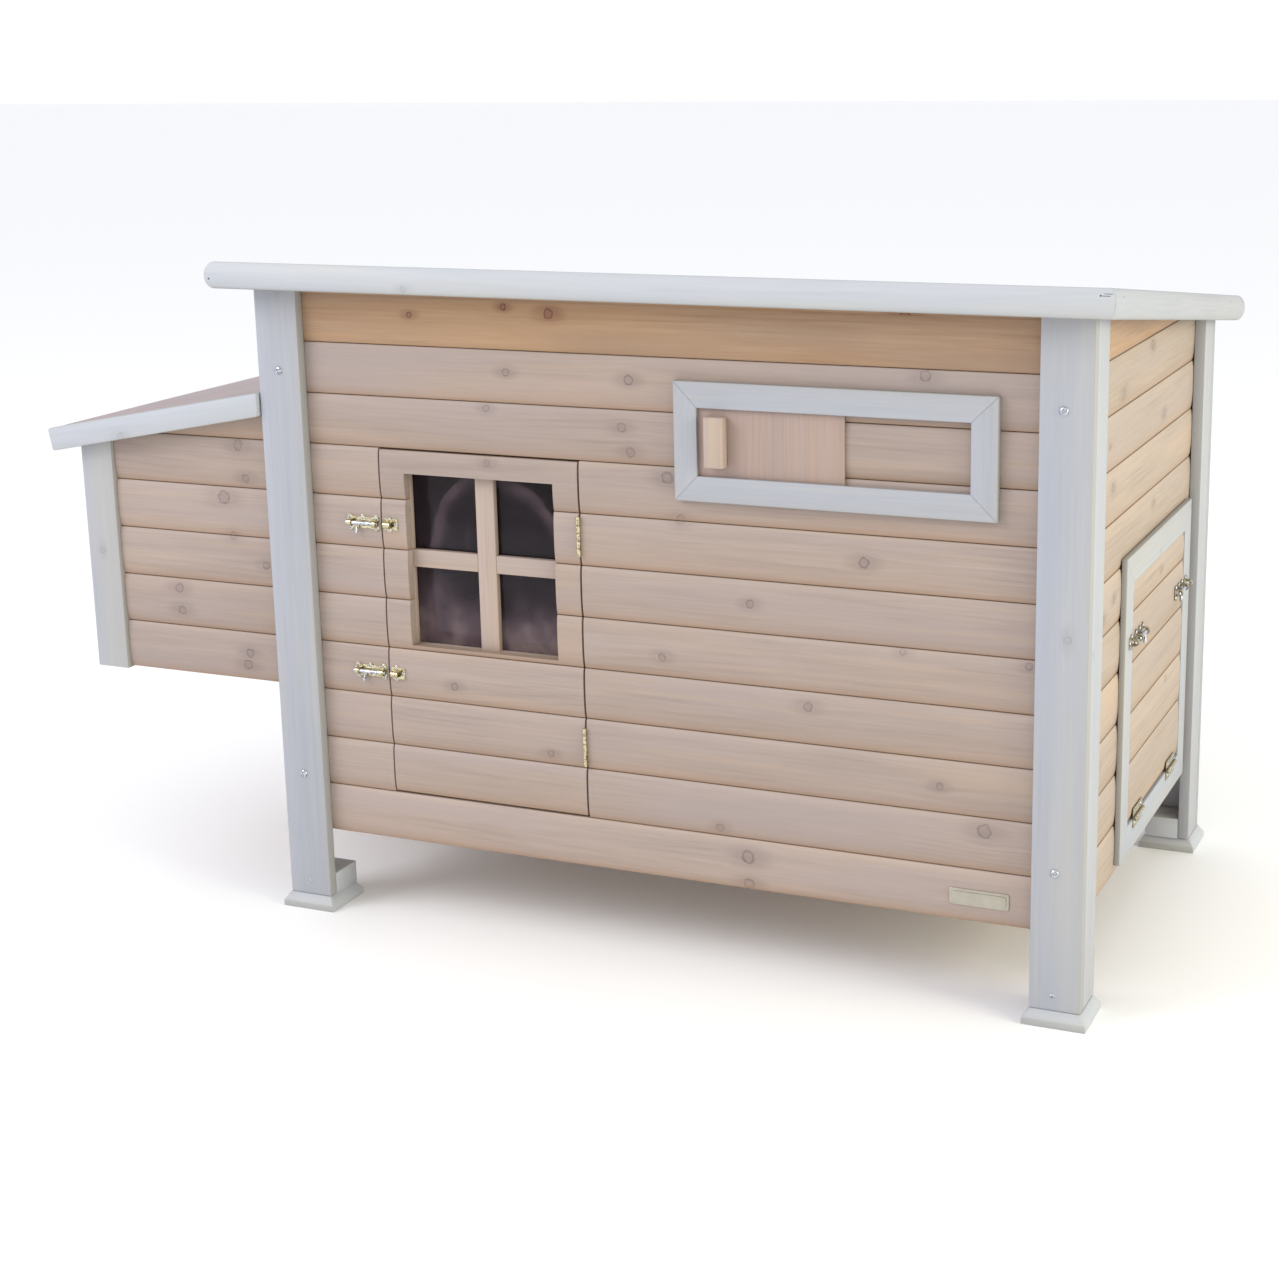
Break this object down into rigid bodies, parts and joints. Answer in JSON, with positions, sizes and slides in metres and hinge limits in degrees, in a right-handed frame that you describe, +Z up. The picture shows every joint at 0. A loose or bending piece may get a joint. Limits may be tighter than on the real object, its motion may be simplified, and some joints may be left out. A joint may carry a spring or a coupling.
{
  "type": "chicken coop",
  "caption": "Raised wooden chicken coop with log-profile walls, a lean-to felt roof, a windowed front door, a sliding vent, a drop-down pop door and a lidded nest box.",
  "frame": {"origin": "centre of the whole outline on the ground plane under the feet", "axes": "+X to the coop's right, away from the nest box, seen from the front; +Y from the front door side to the back; +Z up"},
  "size_m": [1.333, 0.7061, 0.7945],
  "materials": {
    "log_boards": "washed matt",
    "white_boards": "pale opaque stain",
    "plywood": "bare sanded",
    "roofing_felt": "bitumen felt",
    "brass": "plated satin",
    "zinc": "zinc plated",
    "glazing": "clear acrylic"
  },
  "bodies": {
    "coop": {"corner_post_front_left": "white_boards", "corner_post_front_right": "white_boards", "corner_post_back_left": "white_boards", "corner_post_back_right": "white_boards", "foot_front_left": "white_boards", "foot_front_right": "white_boards", "foot_back_left": "white_boards", "foot_back_right": "white_boards", "front_wall": "log_boards", "back_wall": "log_boards", "left_wall": "log_boards", "right_wall": "log_boards", "floor_panel": "plywood", "perch": "log_boards", "roof_panel": "plywood", "roof_felt": "roofing_felt", "roof_trim_front": "white_boards", "roof_trim_back": "white_boards", "roof_trim_left": "white_boards", "roof_trim_right": "white_boards", "front_bolt_lower_body": "brass", "front_bolt_upper_body": "brass", "front_hinge_lower_fixed_leaf": "brass", "front_hinge_upper_fixed_leaf": "brass", "vent_frame": "white_boards", "pop_door_frame": "white_boards", "pop_bolt_front_keeper": "brass", "pop_bolt_back_keeper": "brass", "pop_hinge_front_fixed_leaf": "brass", "pop_hinge_back_fixed_leaf": "brass", "nest_post_front": "white_boards", "nest_post_back": "white_boards", "nest_front": "log_boards", "nest_back": "log_boards", "nest_end": "log_boards", "nest_floor": "plywood", "nest_divider": "plywood", "nest_hinge_fixed_leaf": "brass"},
    "front_door": {"front_door_panel": "log_boards", "window_sash": "log_boards", "window_pane": "glazing", "front_bolt_lower_keeper": "brass", "front_bolt_upper_keeper": "brass", "front_hinge_lower_moving_leaf": "brass", "front_hinge_upper_moving_leaf": "brass"},
    "front_bolt_lower": {"front_bolt_lower_rod": "zinc"},
    "front_bolt_upper": {"front_bolt_upper_rod": "zinc"},
    "vent_cover": {"vent_slide": "plywood", "vent_knob": "plywood"},
    "pop_door": {"pop_door_panel": "log_boards", "pop_bolt_front_body": "brass", "pop_bolt_back_body": "brass", "pop_hinge_front_moving_leaf": "brass", "pop_hinge_back_moving_leaf": "brass"},
    "pop_bolt_front": {"pop_bolt_front_rod": "zinc"},
    "pop_bolt_back": {"pop_bolt_back_rod": "zinc"},
    "nest_lid": {"nest_lid_panel": "plywood", "nest_lid_felt": "roofing_felt", "nest_lid_trim": "white_boards", "nest_hinge_moving_leaf": "brass"}
  },
  "joints": [
    {"name": "front_door_hinge", "type": "hinge", "parent": "coop", "child": "front_door", "pos_m": [0.05175, -0.301, 0.3695], "axis": [0, 0, 1], "range_deg": [0, 165]},
    {"name": "front_bolt_lower_slide", "type": "slide", "parent": "coop", "child": "front_bolt_lower", "axis": [1, 0, 0], "range_m": [0, 0.02]},
    {"name": "front_bolt_upper_slide", "type": "slide", "parent": "coop", "child": "front_bolt_upper", "axis": [1, 0, 0], "range_m": [0, 0.02]},
    {"name": "vent_cover_slide", "type": "slide", "parent": "coop", "child": "vent_cover", "axis": [1, 0, 0], "range_m": [0, 0.139]},
    {"name": "pop_door_hinge", "type": "hinge", "parent": "coop", "child": "pop_door", "pos_m": [0.633, 0.0625, 0.148], "axis": [0, 1, 0], "range_deg": [0, 120]},
    {"name": "pop_bolt_front_slide", "type": "slide", "parent": "pop_door", "child": "pop_bolt_front", "axis": [0, -1, 0], "range_m": [0, 0.02]},
    {"name": "pop_bolt_back_slide", "type": "slide", "parent": "pop_door", "child": "pop_bolt_back", "axis": [0, 1, 0], "range_m": [0, 0.02]},
    {"name": "nest_lid_hinge", "type": "hinge", "parent": "coop", "child": "nest_lid", "pos_m": [-0.3515, 0, 0.64009], "axis": [0, 1, 0], "range_deg": [0, 60]}
  ]
}
